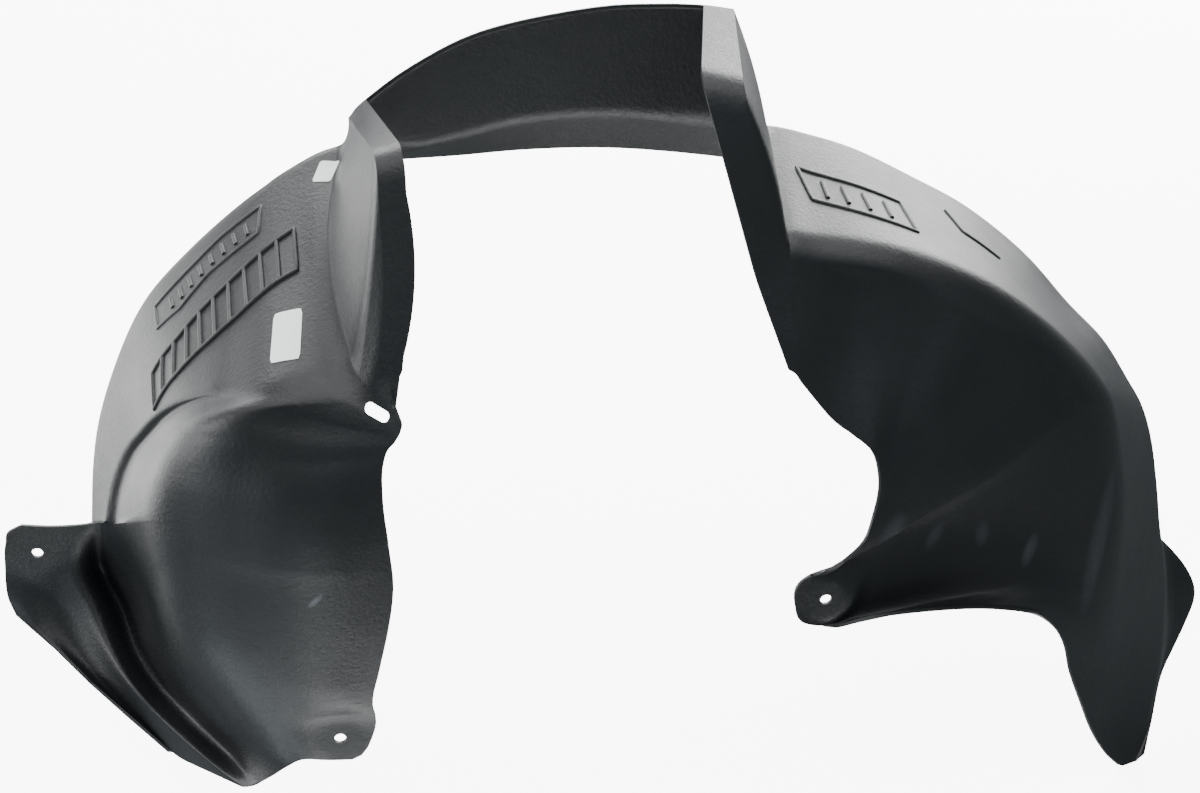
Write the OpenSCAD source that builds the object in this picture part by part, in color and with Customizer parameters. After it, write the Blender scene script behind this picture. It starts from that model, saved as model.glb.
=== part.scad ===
// Front wheel arch liner: one thermoformed sheet, with two paper labels stuck on its outer face.
// X runs along the car, Y points outboard (to the fender) and Z is up.
// The origin is the centre of the ear hole, on the inboard face of the sheet.

/* [Sheet] */
// Thickness of the formed sheet
sheet_t = 2; // [1.5:0.1:3]
// Rounding left where the outer band turns over the crest
crest_r = 9; // [5:1:12]
// Rounding of the crest under the hood
hood_crest_r = 5; // [3:1:8]
// Rounding of the groove beside the ear
groove_r = 16; // [10:1:20]
// Rounding where the crown or the hood roof turns down into the inboard wall
fold_r = 9; // [5:1:12]

/* [Arch] */
// Span of the barrel at the height of the ear
arch_span = 760; // [700:5:820]
// Height of the crest above the wheel axis level
arch_h = 332; // [300:4:370]
// Depth from the outboard rim to the panel above the foot
liner_depth = 215; // [195:5:245]

/* [Hood over the strut] */
// Height of the hood roof above the crest
hood_h = 72; // [50:2:90]
// Width that the strut opening leaves of the hood on the left
strip_l = 20; // [14:1:28]
// Width that the strut opening leaves of the hood on the right
strip_r = 22; // [14:1:30]
// Rounding between the hood roof and the strips at the front of the opening
roof_r = 16; // [8:1:20]
// Rounded lip that stays along the top of the hood's outboard wall
roof_lip = 4; // [2:1:8]

/* [Foot] */
// Depth of the joggle between the outer strip and the foot bulge
joggle = 10; // [4:1:14]
// How far the panels bulge towards the engine bay
bulge = 17; // [6:1:20]

/* [Fixings] */
// Diameter of the clip holes
hole_d = 7; // [5:0.5:9]
// Flat round the clip holes
pad_r = 13; // [11:1:16]
// Length of the adjusting slot
slot_l = 14; // [10:1:18]
// Width of the adjusting slot
slot_w = 5.5; // [4:0.5:7]

/* [Labels] */
// Length of the side label across the arch
label_l = 37; // [28:1:44]
// Width of the side label along the arch, and of the crown label across it
label_w = 16.5; // [14:0.5:20]
// Width of the crown label along the arch
crown_label_w = 12; // [9:0.5:13]
// Thickness of the label stock
label_t = 0.3; // [0.2:0.1:0.5]

/* [Hidden] */

// The guide curves are drawn for these sizes, and the sizes above move them
drawn_span = 760;
drawn_arch_h = 332;
drawn_depth = 215;
drawn_hood_h = 72;

// Each guide point is [station, x, y, z]; stations run 0 to 100 from the left foot over the arch
ear_edge = [[0, -383, -52, -20], [3, -388, -50, -6], [6, -389, -48, 13], [8.5, -388, -48, 33],
    [9.4, -386, -48, 41], [10, -378, -48, 46]];
ear_plate = [[0, -278, -128, -74], [1.2, -300, -106, -66], [3, -327, -78, -50], [5.5, -350, -52, -17],
    [8.5, -362, -48, 18], [10, -358, -48, 45]];
ear_ridge = [[0, -238, -180, -53], [1.2, -257, -158, -52], [2.5, -279, -134, -48], [4, -301, -108, -41],
    [5.5, -316, -86, -31], [7, -328, -64, -11], [8.5, -341, -50, 17], [10, -338, -49, 48]];
pocket = [[0, -232, -186, -45], [1.2, -247, -148, -55], [2.5, -270, -120, -50], [4, -290, -90, -49],
    [5.5, -306, -66, -37], [7, -317, -44, -20], [8.5, -331, -33, 4], [10, -331, -52, 52]];
valley = [[0, -224, -195, -32], [1.2, -238, -168, -28], [2.5, -258, -146, -16], [4, -276, -122, -9],
    [5.5, -289, -100, 3], [7, -300, -78, 19], [8.5, -312, -64, 35], [10, -323, -60, 56]];

rim = [[11, -320, 0, 27], [14, -317, 0, 75], [17, -313, 0, 108], [20, -305, 0, 138], [24, -289, 0, 180],
    [28, -265, 0, 214], [32, -233, 0, 249], [36, -202, 0, 274], [39, -184, 0, 282], [44, -151, 0, 287],
    [47, -120, 0, 291], [50, -80, 0, 297], [53, -35, 0, 301], [56, 10, 0, 301], [59, 60, 0, 298],
    [62, 84, 0, 294], [65, 113, 0, 287], [68, 150, 0, 272], [71, 187, 0, 254], [74, 230, 0, 226],
    [77, 264, 0, 195], [80, 298, 0, 165], [84, 335, 0, 130], [88, 370, 0, 82], [91, 398, 0, 40],
    [92.3, 418, 0, 22], [93, 430, 0, 13], [94, 452, 0, -7], [95.2, 468, 0, -31], [96.6, 466, -4, -60],
    [97.4, 453, -19, -71], [98.2, 432, -46, -76], [99.1, 411, -84, -92], [100, 400, -101, -101]];
crest = [[11, -339, -25, 25], [14, -338, -25, 75], [17, -334, -25, 111], [20, -325, -25, 147],
    [24, -307, -25, 194], [28, -281, -25, 230], [32, -247, -25, 266], [36, -213, -25, 293],
    [39, -198, -25, 301], [40, -192, -25, 303], [44, -153, -25, 303], [47, -124, -25, 312],
    [50, -90, -25, 324], [53, -41, -25, 332], [56, 13, -25, 332], [59, 63, -25, 331], [62, 89, -25, 327],
    [65, 121, -25, 319], [68, 161, -25, 303], [71, 203, -25, 284], [74, 249, -25, 254], [77, 288, -26, 220],
    [80, 321, -30, 193], [82, 339, -38, 171], [84, 354, -42, 152], [86, 367, -45, 127], [88, 380, -48, 92],
    [90, 393, -46, 58], [92, 407, -42, 27], [94, 419, -40, -8], [96, 425, -44, -42], [98, 420, -62, -70],
    [99.2, 405, -90, -95], [100, 393, -106, -106]];
ear_root = [[90, 400, -20, 52], [92.3, 417, -9, 24], [93.2, 427, -6, 10], [95, 440, -8, -20],
    [96.5, 448, -10, -46], [97.5, 445, -22, -66], [98.4, 430, -46, -74], [99.2, 410, -84, -92],
    [100, 398, -103, -103]];
joggle_top = [[11, -326, -62, 60], [14, -321, -68, 92], [17, -313, -80, 121], [20, -303, -100, 147],
    [22, -294, -121, 170], [24.5, -281, -141, 191], [27, -264, -158, 207], [30, -245, -172, 219],
    [34, -222, -182, 228]];
fold = [[0, -205, -205, -9], [1.2, -224, -204, 13], [2.5, -244, -203, 36], [4, -268, -201, 70],
    [5.5, -278, -199, 96], [7, -284, -197, 121], [8.5, -287, -196, 138], [10, -288, -195, 150],
    [14, -288, -194, 170], [17, -285, -194, 182], [20, -280, -195, 192], [24, -269, -196, 206],
    [28, -252, -195, 217], [32, -231, -195, 226], [36, -209, -193, 231], [39, -192, -189, 234],
    [40, -184, -188, 238], [41, -178, -186, 242], [44, -163, -185, 243], [50, -60, -175, 262],
    [56, 28, -157, 295], [58, 44, -151, 306], [59, 48, -150, 309], [62, 66, -150, 308], [65, 94, -150, 306],
    [68, 122, -149, 302], [71, 155, -147, 292], [74, 185, -143, 278], [77, 225, -136, 252],
    [80, 262, -130, 220], [84, 285, -125, 187], [87, 309, -120, 125], [90, 318, -120, 79],
    [93, 326, -117, 45], [96, 337, -112, 0], [98, 350, -109, -45], [99.2, 366, -109, -86],
    [100, 381, -110, -107]];
roof_out = [[41, -190, -32, 322], [44, -181, -32, 334], [46, -160, -32, 353], [48, -129, -32, 374],
    [50, -97, -32, 387], [52, -50, -32, 399], [54, -15, -32, 403], [56, 10, -32, 404], [58, 28, -32, 403]];
roof_in = [[41, -181, -150, 347], [44, -167, -150, 351], [50, -90, -148, 380], [56, -13, -140, 396],
    [58, 11, -140, 392]];
trim = [[0, -176, -207, -8], [0.3, -170, -207, -4], [0.7, -166, -208, 7], [1.2, -164, -209, 19],
    [2, -167, -212, 36], [3.5, -165, -214, 62], [5, -162, -215, 90], [7, -161, -215, 120],
    [9, -165, -215, 146], [12, -169, -213, 168], [16, -171, -209, 188], [20, -170, -206, 198],
    [28, -165, -203, 206], [36, -162, -200, 212], [40, -162, -198, 216], [42, -164, -195, 220],
    [44, -165, -193, 222], [50, -60, -180, 228], [56, 56, -166, 238], [58, 66, -168, 229],
    [60, 84, -172, 211], [63, 99, -175, 201], [66, 112, -178, 192], [70, 120, -180, 173],
    [75, 120, -182, 148], [80, 113, -185, 127], [83, 98, -187, 114], [85, 84, -189, 110],
    [86.3, 79, -190, 102], [87.5, 81, -190, 90], [88.8, 88, -190, 78], [90, 108, -188, 76],
    [91, 134, -186, 82], [92.2, 180, -178, 82], [93.4, 220, -166, 74], [94.4, 250, -157, 64],
    [95.3, 272, -149, 48], [96.3, 291, -140, 24], [97.2, 304, -134, -2], [98.1, 322, -128, -32],
    [99, 342, -121, -64], [99.6, 357, -116, -84], [100, 366, -114, -94]];

// How far the right flank of the hood bows out along the arch
flank_bow = 5;

// Stations where the hood reaches its roof, and those of its rise from each foot
hood_top_l = 41;
hood_top_r = 58;
rise_l = [0, 0.4, 0.8, 1.2, 1.7];
rise_r = [0, 0.4, 0.7, 1];
hood_foot_l = hood_top_l - rise_l[len(rise_l) - 1];
hood_foot_r = hood_top_r + rise_r[len(rise_r) - 1];
// Where the strut opening is cut, for strips of 20 and 22 mm
cut_l = hood_top_l + strip_l / 20 * 3;
cut_r = hood_top_r - strip_r / 22 * 2;
// Where the labels lie, ahead of the foot of the hood
side_label_at = hood_foot_l - 5.4;
crown_label_at = hood_foot_l - 1;
// The relief between the ear and the outer strip
relief_low = 10;
relief_high = 11;

// [station, value] pairs along the arch
fold_round = [[0, 8], [2.5, 30], [6, 60], [14, 60], [20, 40], [28, 28], [36, 20], [40, fold_r + 5],
    [59, fold_r], [62, 11], [72, 14], [78, 20], [84, 30], [94, 40], [99, 20], [100, 2]];
panel_bulge = [[0, 0], [3, 0.6], [8, 1], [14, 0.9], [20, 0.5], [30, 0.1], [40, 0], [58, 0],
    [64, -0.4], [70, -0.4], [76, 0.2], [82, 0.4], [86, 0.2], [89, 0], [100, 0]];
plate_round = [[0, 8], [3, 30], [10, 30], [11, 6], [100, 6]];
crest_round = [[0, 3], [2, 9], [5, 14], [10.5, 12], [11, crest_r], [43, crest_r], [45, hood_crest_r],
    [55, hood_crest_r], [57, crest_r], [90, crest_r], [96, crest_r + 5], [99, 6], [100, 1]];

function clamp(v, lo, hi) = min(max(v, lo), hi);
function ease(v) = let (t = clamp(v, 0, 1)) t * t * (3 - 2 * t);
function unit(v) = norm(v) < 1e-9 ? [0, 0, 0] : v / norm(v);
function arc(t) = 4 * t * (1 - t);
function toward(a, b, d) = a + unit(b - a) * d;
function mix(a, b, t) = a + (b - a) * t;
function sum3(list, i = 0) = i >= len(list) ? [0, 0, 0] : list[i] + sum3(list, i + 1);

// Smooth curve through guide points, at one station
function xyz(k) = [k[1], k[2], k[3]];
function span_slope(g, i) = (xyz(g[i + 1]) - xyz(g[i])) / (g[i + 1][0] - g[i][0]);
function knot_slope(g, i) =
    i == 0 ? span_slope(g, 0)
    : i == len(g) - 1 ? span_slope(g, i - 1)
    : let (a = g[i][0] - g[i - 1][0], b = g[i + 1][0] - g[i][0])
        (span_slope(g, i - 1) * b + span_slope(g, i) * a) / (a + b);
function curve(g, s0) =
    let (
        s = clamp(s0, g[0][0], g[len(g) - 1][0]),
        i = min(len([for (k = g) if (k[0] <= s) 1]) - 1, len(g) - 2),
        h = g[i + 1][0] - g[i][0],
        t = (s - g[i][0]) / h
    )
    (1 + 2 * t) * (1 - t) * (1 - t) * xyz(g[i]) + t * (1 - t) * (1 - t) * h * knot_slope(g, i)
    + t * t * (3 - 2 * t) * xyz(g[i + 1]) + t * t * (t - 1) * h * knot_slope(g, i + 1);

// The driving sizes move the drawn points, which keep their shape within these reaches of the middle,
// of the rim and of the ground
middle_zone = 120;
rim_zone = 30;
rim_blend = 60;
leg_zone = 180;
function sized(p) = [
    p[0] + (arch_span - drawn_span) / 2 * clamp(p[0] / middle_zone, -1, 1),
    p[1] - (liner_depth - drawn_depth) * ease((-p[1] - rim_zone) / rim_blend),
    p[2] + (arch_h - drawn_arch_h) * ease(p[2] / leg_zone)
];

// How much of the hood a station has, from 0 at its feet to 1 at its roof
function hood_share(s) =
    min(
        ease((s - hood_foot_l) / (hood_top_l - hood_foot_l)),
        ease((hood_foot_r - s) / (hood_foot_r - hood_top_r))
    );

// The joggle fades into the plain crown over these stations
joggle_fade = 27;
joggle_gone = 34;
// How far the foot of the joggle lies to the side, inboard and up, for a joggle of 1
joggle_slant = [0.6, -0.6, 0.2];
// Width of the flat beside the crest, where the crown has no joggle
crest_flat = 12;
// Knee of the inboard wall, as a share of its height, at the foot and at the crown
foot_knee = 0.62;
crown_knee = 0.5;
// The corners of the fold: their distance for a rounding of 1, the most rounding counted for it,
// and the most that they take of a side
fold_reach = 0.7;
fold_most = 14;
side_share = 0.3;

// The eight corners of the section at a station, from the outboard edge to the inboard trim
function corners(s) =
    let (
        left = s < (relief_low + relief_high) / 2,
        c = left ? curve(ear_ridge, s) : curve(crest, s),
        e = left ? curve(ear_edge, s) : curve(rim, s),
        root = ease((s - 90.5) / 2),
        m = left ? curve(ear_plate, s) : mix(mix(e, c, 0.5), curve(ear_root, s), root),
        f = curve(fold, s),
        t = curve(trim, s),
        roof = norm(f - c) * side_share,
        soft = min(min(lookup(s, fold_round), fold_most) * fold_reach, roof, norm(t - f) * side_share),
        crown = ease((s - joggle_fade) / (joggle_gone - joggle_fade)),
        hood = hood_share(s),
        jog_top = curve(joggle_top, s),
        jog_low = jog_top + joggle * joggle_slant,
        step = mix(left ? curve(pocket, s) : jog_top, toward(c, f, min(crest_flat, roof)), crown),
        base = mix(left ? curve(valley, s) : jog_low, toward(f, c, soft), crown),
        low = mix(f, toward(f, t, soft), crown),
        bow = flank_bow * arc(hood),
        lift = [s > 50 ? bow : 0, 0, hood * (hood_h - drawn_hood_h)],
        wall = mix(low, t, mix(foot_knee, crown_knee, crown)) - [0, bulge * lookup(s, panel_bulge), 0]
    )
    [for (p = [
        e, m, c,
        mix(step, curve(roof_out, s), hood) + lift,
        mix(base, curve(roof_in, s), hood) + lift,
        low, wall, t
    ]) sized(p)];

// The groove beside the ear is rounder than the folds of the crown
function foot_soft(s) = s < relief_high ? groove_r : fold_r;

// How far each corner's rounding starts from it, and the most that it takes of a side
wall_round = 60;
setback_share = 0.48;
function rounding(s) =
    [0, lookup(s, plate_round), lookup(s, crest_round), mix(foot_soft(s), roof_lip, hood_share(s)),
        mix(foot_soft(s), roof_r, hood_share(s)), lookup(s, fold_round), wall_round, 0];
function setback(v, r, k) =
    min(r[k], setback_share * norm(v[k] - v[k - 1]), setback_share * norm(v[k + 1] - v[k]));

// The rows of the sheet: [segment, 0, f] on a straight, [corner, 1, f] on a rounding
straights = [2, 1, 2, 6, 4, 4, 5];
rounds = [0, 2, 3, 2, 2, 4, 2];
rows = [for (k = [0:6]) each concat(
    [for (i = [(k == 0 ? 0 : 1):1:straights[k] - 1]) [k, 0, i / straights[k]]],
    k == 6 ? [[6, 0, 1]] : [for (i = [0:rounds[k + 1]]) [k + 1, 1, i / rounds[k + 1]]]
)];
// The row that the relief reaches and the strut opening starts from
cut_row = [for (j = [0:len(rows) - 1]) if (rows[j] == [3, 1, 1]) j][0];

function spot(v, r, row) =
    let (k = row[0], f = row[2])
    row[1] == 1
        ? let (d = setback(v, r, k), a = toward(v[k], v[k - 1], d), b = toward(v[k], v[k + 1], d))
            (1 - f) * (1 - f) * a + 2 * f * (1 - f) * v[k] + f * f * b
        : let (
            a = k == 0 ? v[0] : toward(v[k], v[k + 1], setback(v, r, k)),
            b = k == 6 ? v[7] : toward(v[k + 1], v[k], setback(v, r, k + 1))
        ) mix(a, b, f);

// How far the left strip bows to the right between roof and base, at its flank and at its cut edge
flank_edge_bow = 3;
cut_edge_bow = 7;
cut_edge_from = hood_top_l + 5;
cut_edge_gone = hood_top_l + 9;
// How far the foot of that flank bows to the left across the crown
flank_foot_bow = 8;
foot_bow_from = hood_foot_l - 4.3;
function bowed(p, s, row) =
    let (
        q = clamp(row[0] + (row[1] == 0 ? row[2] : (row[2] - 0.5) * 0.1) - 4, 0, 1),
        rise = ease((s - hood_foot_l) / (hood_top_l - hood_foot_l)),
        fall = ease((cut_edge_gone - s) / (cut_edge_gone - cut_edge_from)),
        far = mix(flank_edge_bow, cut_edge_bow, ease((s - hood_top_l) / (cut_l - hood_top_l))),
        w = row[0] == 3 && row[1] == 0 ? row[2] : 0,
        foot = ease((s - foot_bow_from) / (hood_foot_l - foot_bow_from)) * ease(hood_top_l - s)
    ) p + [far * arc(q) * rise * fall - flank_foot_bow * arc(w) * foot, 0, 0];

// Clip holes, each in a flat that faces the engine bay: [x, y, z]
ear_hole = sized([-369, -48, 25.5]);
foot_hole = sized([-184, -208, 8]);
tab_hole = sized([99, -189, 95]);
slot_at = sized([-175, -197, 220]);
slot_turn = 27;
flats = [ear_hole, foot_hole, tab_hole];
// How far a flat runs out into the sheet round it, and the depth within which it pulls the sheet
pad_blend = 16;
pad_depth = 30;
pad_fade = 12;
function flat_share(p, at) =
    (1 - ease((norm([p[0] - at[0], p[2] - at[2]]) - pad_r) / pad_blend))
    * ease((pad_depth - abs(p[1] - at[1])) / pad_fade);
function flattened(p) =
    let (w = [for (f = flats) flat_share(p, f)], k = max(w))
    k <= 0 ? p : [p[0], mix(p[1], [for (i = [0:len(flats) - 1]) if (w[i] == k) flats[i][1]][0], k), p[2]];

// Stations of the plain sheet, with those of the hood put in their place among them
plain_stations = [
    0, 0.3, 0.7, 1.2, 2, 3, 4, 5, 6, 7, 8, 8.8, 9.5, relief_low, relief_high,
    13, 15, 17, 19, 21, 23.5, 26, 28.5, 31, 33.5, 36, 38, 40.5, 42.5, 44, 46.5, 49, 51.5, 54, 56, 58.5,
    60.3, 62, 64.5, 67, 69.5, 72, 74.5, 77, 79.5, 82, 83.5, 85, 86, 87, 88, 89, 90, 91, 92, 93,
    94, 95, 96, 97, 98, 98.8, 99.5, 100
];
hood_stations = concat(
    [for (k = rise_l) hood_foot_l + k],
    [mix(hood_top_l, cut_l, 0.5), cut_l, cut_r, mix(cut_r, hood_top_r, 0.5)],
    [for (k = rise_r) hood_top_r + k]
);
function sorted(v) =
    len(v) < 2 ? v : concat(
        sorted([for (x = v) if (x < v[0]) x]), [v[0]], sorted([for (x = v) if (x > v[0]) x])
    );
stations = sorted(concat(
    [for (s = plain_stations) if (s < hood_foot_l || (s > cut_l && s < cut_r) || s > hood_foot_r) s],
    hood_stations
));
n = len(stations);
m = len(rows);

function column(s) =
    let (v = corners(s), r = rounding(s)) [for (row = rows) flattened(bowed(spot(v, r, row), s, row))];
outer = [for (s = stations) column(s)];

// A cell of the sheet is left out in the strut opening and in the relief beside the ear
function present(i, j) =
    i >= 0 && j >= 0 && i < n - 1 && j < m - 1
    && !(stations[i] == relief_low && j < cut_row)
    && !(stations[i] >= cut_l && stations[i] < cut_r && j >= cut_row);
function cell_normal(i, j) =
    unit(cross(outer[i + 1][j + 1] - outer[i][j], outer[i + 1][j] - outer[i][j + 1]));
function point_normal(i, j) =
    unit(sum3([for (a = [i - 1, i]) for (b = [j - 1, j]) if (present(a, b)) cell_normal(a, b)]));
inner = [for (i = [0:n - 1]) [for (j = [0:m - 1]) outer[i][j] - sheet_t * point_normal(i, j)]];

module sheet() {
    function top(i, j) = i * m + j;
    function under(i, j) = n * m + top(i, j);
    function two(a, b, c, d) = [[a, b, c], [a, c, d]];
    cells = [for (i = [0:n - 2]) for (j = [0:m - 2]) if (present(i, j)) [i, j]];
    polyhedron(
        points = concat([for (col = outer) each col], [for (col = inner) each col]),
        faces = [for (c = cells) let (i = c[0], j = c[1]) each concat(
            two(top(i, j), top(i + 1, j), top(i + 1, j + 1), top(i, j + 1)),
            two(under(i, j), under(i, j + 1), under(i + 1, j + 1), under(i + 1, j)),
            present(i, j - 1) ? [] : two(top(i + 1, j), top(i, j), under(i, j), under(i + 1, j)),
            present(i, j + 1) ? []
                : two(top(i, j + 1), top(i + 1, j + 1), under(i + 1, j + 1), under(i, j + 1)),
            present(i - 1, j) ? [] : two(top(i, j), top(i, j + 1), under(i, j + 1), under(i, j)),
            present(i + 1, j) ? []
                : two(top(i + 1, j + 1), top(i + 1, j), under(i + 1, j), under(i + 1, j + 1))
        )],
        convexity = 8
    );
}

// Holes and labels are cut straight through the sheet and the room round it
cut_h = 10 * sheet_t;
module clip_hole(at) {
    translate(at) rotate([90, 0, 0]) cylinder(h = cut_h, d = hole_d, center = true, $fn = 48);
}

module adjusting_slot() {
    translate(slot_at) rotate([90, slot_turn, 0]) linear_extrude(height = cut_h, center = true) {
        square([slot_l - slot_w, slot_w], center = true);
        for (side = [-1, 1]) translate([side * (slot_l - slot_w) / 2, 0]) circle(d = slot_w, $fn = 32);
    }
}

module liner() {
    color("#1d2126") translate(-ear_hole) difference() {
        sheet();
        clip_hole(ear_hole);
        clip_hole(foot_hole);
        clip_hole(tab_hole);
        adjusting_slot();
    }
}

// Label stock laid on the sheet's outer face, over the cells round a label
module stock(i0, i1, j0, j1) {
    w = j1 - j0 + 1;
    c = i1 - i0 + 1;
    low = [for (i = [i0:i1]) for (j = [j0:j1]) outer[i][j]];
    high = [for (i = [i0:i1]) for (j = [j0:j1]) outer[i][j] + label_t * point_normal(i, j)];
    function two(a, b, d, e) = [[a, b, d], [a, d, e]];
    function at(i, j) = i * w + j;
    function up(i, j) = c * w + at(i, j);
    polyhedron(
        points = concat(low, high),
        faces = concat(
            [for (i = [0:c - 2]) for (j = [0:w - 2])
                each two(up(i, j), up(i + 1, j), up(i + 1, j + 1), up(i, j + 1))],
            [for (i = [0:c - 2]) for (j = [0:w - 2])
                each two(at(i, j), at(i, j + 1), at(i + 1, j + 1), at(i + 1, j))],
            [for (i = [0:c - 2]) each two(up(i + 1, 0), up(i, 0), at(i, 0), at(i + 1, 0))],
            [for (i = [0:c - 2]) each two(up(i, w - 1), up(i + 1, w - 1), at(i + 1, w - 1), at(i, w - 1))],
            [for (j = [0:w - 2]) each two(up(0, j), up(0, j + 1), at(0, j + 1), at(0, j))],
            [for (j = [0:w - 2]) each two(up(c - 1, j + 1), up(c - 1, j), at(c - 1, j), at(c - 1, j + 1))]
        ),
        convexity = 4
    );
}

// A label cut from the stock, centred at a station and a share of the way from crest to fold
module label(s, q, size_along, size_across, turn) {
    f = sized(curve(fold, s));
    c = sized(curve(crest, s));
    ahead = sized(mix(curve(crest, s + 0.5), curve(fold, s + 0.5), q));
    mid = mix(c, f, q);
    across = unit(f - c);
    out = unit(cross(across, ahead - mid));
    along = cross(out, across);
    corner = 2;
    multmatrix([
        [along[0], across[0], -out[0], mid[0]],
        [along[1], across[1], -out[1], mid[1]],
        [along[2], across[2], -out[2], mid[2]]
    ])
        rotate([0, 0, turn]) linear_extrude(height = cut_h, center = true) union() {
            square([size_along, size_across - 2 * corner], center = true);
            square([size_along - 2 * corner, size_across], center = true);
            for (x = [-1, 1]) for (y = [-1, 1])
                translate([x * (size_along / 2 - corner), y * (size_across / 2 - corner)])
                    circle(r = corner, $fn = 24);
        }
}

function station_from(s) = len([for (x = stations) if (x < s) 1]);
crest_row = [for (j = [0:m - 1]) if (rows[j] == [2, 1, 1]) j][0];
fold_row = [for (j = [0:m - 1]) if (rows[j] == [5, 1, 0]) j][0];

module side_label() {
    color("#f4f5f5") translate(-ear_hole) intersection() {
        stock(station_from(side_label_at - 3.9), station_from(side_label_at + 3.1), crest_row, fold_row);
        label(side_label_at, 0.745, label_w, label_l, 6);
    }
}

module crown_label() {
    color("#f1f2f2") translate(-ear_hole) intersection() {
        stock(
            station_from(crown_label_at - 5.3), station_from(crown_label_at + 1.7), crest_row - 1, fold_row
        );
        label(crown_label_at, 0.11, crown_label_w, label_w, 12);
    }
}

liner();
side_label();
crown_label();
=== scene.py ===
import bmesh
import bpy
import numpy as np
from mathutils import Matrix, Vector
from mathutils.bvhtree import BVHTree


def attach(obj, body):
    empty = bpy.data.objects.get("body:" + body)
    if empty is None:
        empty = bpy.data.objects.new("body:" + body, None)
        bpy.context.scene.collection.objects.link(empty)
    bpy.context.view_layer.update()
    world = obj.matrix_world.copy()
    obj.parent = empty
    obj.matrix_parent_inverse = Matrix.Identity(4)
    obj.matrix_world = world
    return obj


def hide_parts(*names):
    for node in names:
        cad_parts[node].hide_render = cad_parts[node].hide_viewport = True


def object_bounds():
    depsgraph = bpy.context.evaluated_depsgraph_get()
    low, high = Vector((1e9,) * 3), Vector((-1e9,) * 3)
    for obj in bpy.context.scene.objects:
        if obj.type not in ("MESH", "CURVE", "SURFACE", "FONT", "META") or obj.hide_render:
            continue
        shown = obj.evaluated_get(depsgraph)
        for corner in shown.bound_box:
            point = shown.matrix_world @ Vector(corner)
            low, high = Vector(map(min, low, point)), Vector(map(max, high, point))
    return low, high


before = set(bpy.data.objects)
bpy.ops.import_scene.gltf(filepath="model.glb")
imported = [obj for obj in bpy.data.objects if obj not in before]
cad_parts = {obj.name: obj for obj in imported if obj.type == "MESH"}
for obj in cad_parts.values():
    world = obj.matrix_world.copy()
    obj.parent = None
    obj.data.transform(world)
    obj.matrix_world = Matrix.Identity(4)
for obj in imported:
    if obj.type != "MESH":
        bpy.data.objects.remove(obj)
CAD_BOX = [list(map(float, corner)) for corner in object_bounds()]

bl_info = {
    "name": "Wheel Arch Liner",
    "version": (1, 0, 0),
    "blender": (4, 5, 0),
    "location": "View3D > Sidebar > Arch Liner",
    "description": "Builds a thermoformed wheel arch liner with its embossed frames and paper labels",
    "category": "Object",
}

MM = 0.001
# Where the ear's clip hole, the origin of the part's frame, lies among the guide points below
EAR_HOLE = np.array([-369.0, -48.0, 25.5])

# Guide points are [station, x, y, z] in millimetres; stations run 0 to 100 over the arch
EAR_EDGE = [
    [0, -383, -52, -20], [3, -388, -50, -6], [6, -389, -48, 13], [8.5, -388, -48, 33],
    [9.4, -386, -48, 41], [10, -378, -48, 46],
]
EAR_PLATE = [
    [0, -278, -128, -74], [1.2, -300, -106, -66], [3, -327, -78, -50], [5.5, -350, -52, -17],
    [8.5, -362, -48, 18], [10, -358, -48, 45],
]
EAR_RIDGE = [
    [0, -238, -180, -53], [1.2, -257, -158, -52], [2.5, -279, -134, -48], [4, -301, -108, -41],
    [5.5, -316, -86, -31], [7, -328, -64, -11], [8.5, -341, -50, 17], [10, -338, -49, 48],
]
POCKET = [
    [0, -232, -186, -45], [1.2, -247, -148, -55], [2.5, -270, -120, -50], [4, -290, -90, -49],
    [5.5, -306, -66, -37], [7, -317, -44, -20], [8.5, -331, -33, 4], [10, -331, -52, 52],
]
VALLEY = [
    [0, -224, -195, -32], [1.2, -238, -168, -28], [2.5, -258, -146, -16], [4, -276, -122, -9],
    [5.5, -289, -100, 3], [7, -300, -78, 19], [8.5, -312, -64, 35], [10, -323, -60, 56],
]
RIM = [
    [11, -320, 0, 27], [14, -317, 0, 75], [17, -313, 0, 108], [20, -305, 0, 138],
    [24, -289, 0, 180], [28, -265, 0, 214], [32, -233, 0, 249], [36, -202, 0, 274],
    [39, -184, 0, 282], [44, -151, 0, 287], [47, -120, 0, 291], [50, -80, 0, 297],
    [53, -35, 0, 301], [56, 10, 0, 301], [59, 60, 0, 298], [62, 84, 0, 294], [65, 113, 0, 287],
    [68, 150, 0, 272], [71, 187, 0, 254], [74, 230, 0, 226], [77, 264, 0, 195], [80, 298, 0, 165],
    [84, 335, 0, 130], [88, 370, 0, 82], [91, 398, 0, 40], [92.3, 418, 0, 22], [93, 430, 0, 13],
    [94, 452, 0, -7], [95.2, 468, 0, -31], [96.6, 466, -4, -60], [97.4, 453, -19, -71],
    [98.2, 432, -46, -76], [99.1, 411, -84, -92], [100, 400, -101, -101],
]
CREST = [
    [11, -339, -25, 25], [14, -338, -25, 75], [17, -334, -25, 111], [20, -325, -25, 147],
    [24, -307, -25, 194], [28, -281, -25, 230], [32, -247, -25, 266], [36, -213, -25, 293],
    [39, -198, -25, 301], [40, -192, -25, 303], [44, -153, -25, 303], [47, -124, -25, 312],
    [50, -90, -25, 324], [53, -41, -25, 332], [56, 13, -25, 332], [59, 63, -25, 331],
    [62, 89, -25, 327], [65, 121, -25, 319], [68, 161, -25, 303], [71, 203, -25, 284],
    [74, 249, -25, 254], [77, 288, -26, 220], [80, 321, -30, 193], [82, 339, -38, 171],
    [84, 354, -42, 152], [86, 367, -45, 127], [88, 380, -48, 92], [90, 393, -46, 58],
    [92, 407, -42, 27], [94, 419, -40, -8], [96, 425, -44, -42], [98, 420, -62, -70],
    [99.2, 405, -90, -95], [100, 393, -106, -106],
]
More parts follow.
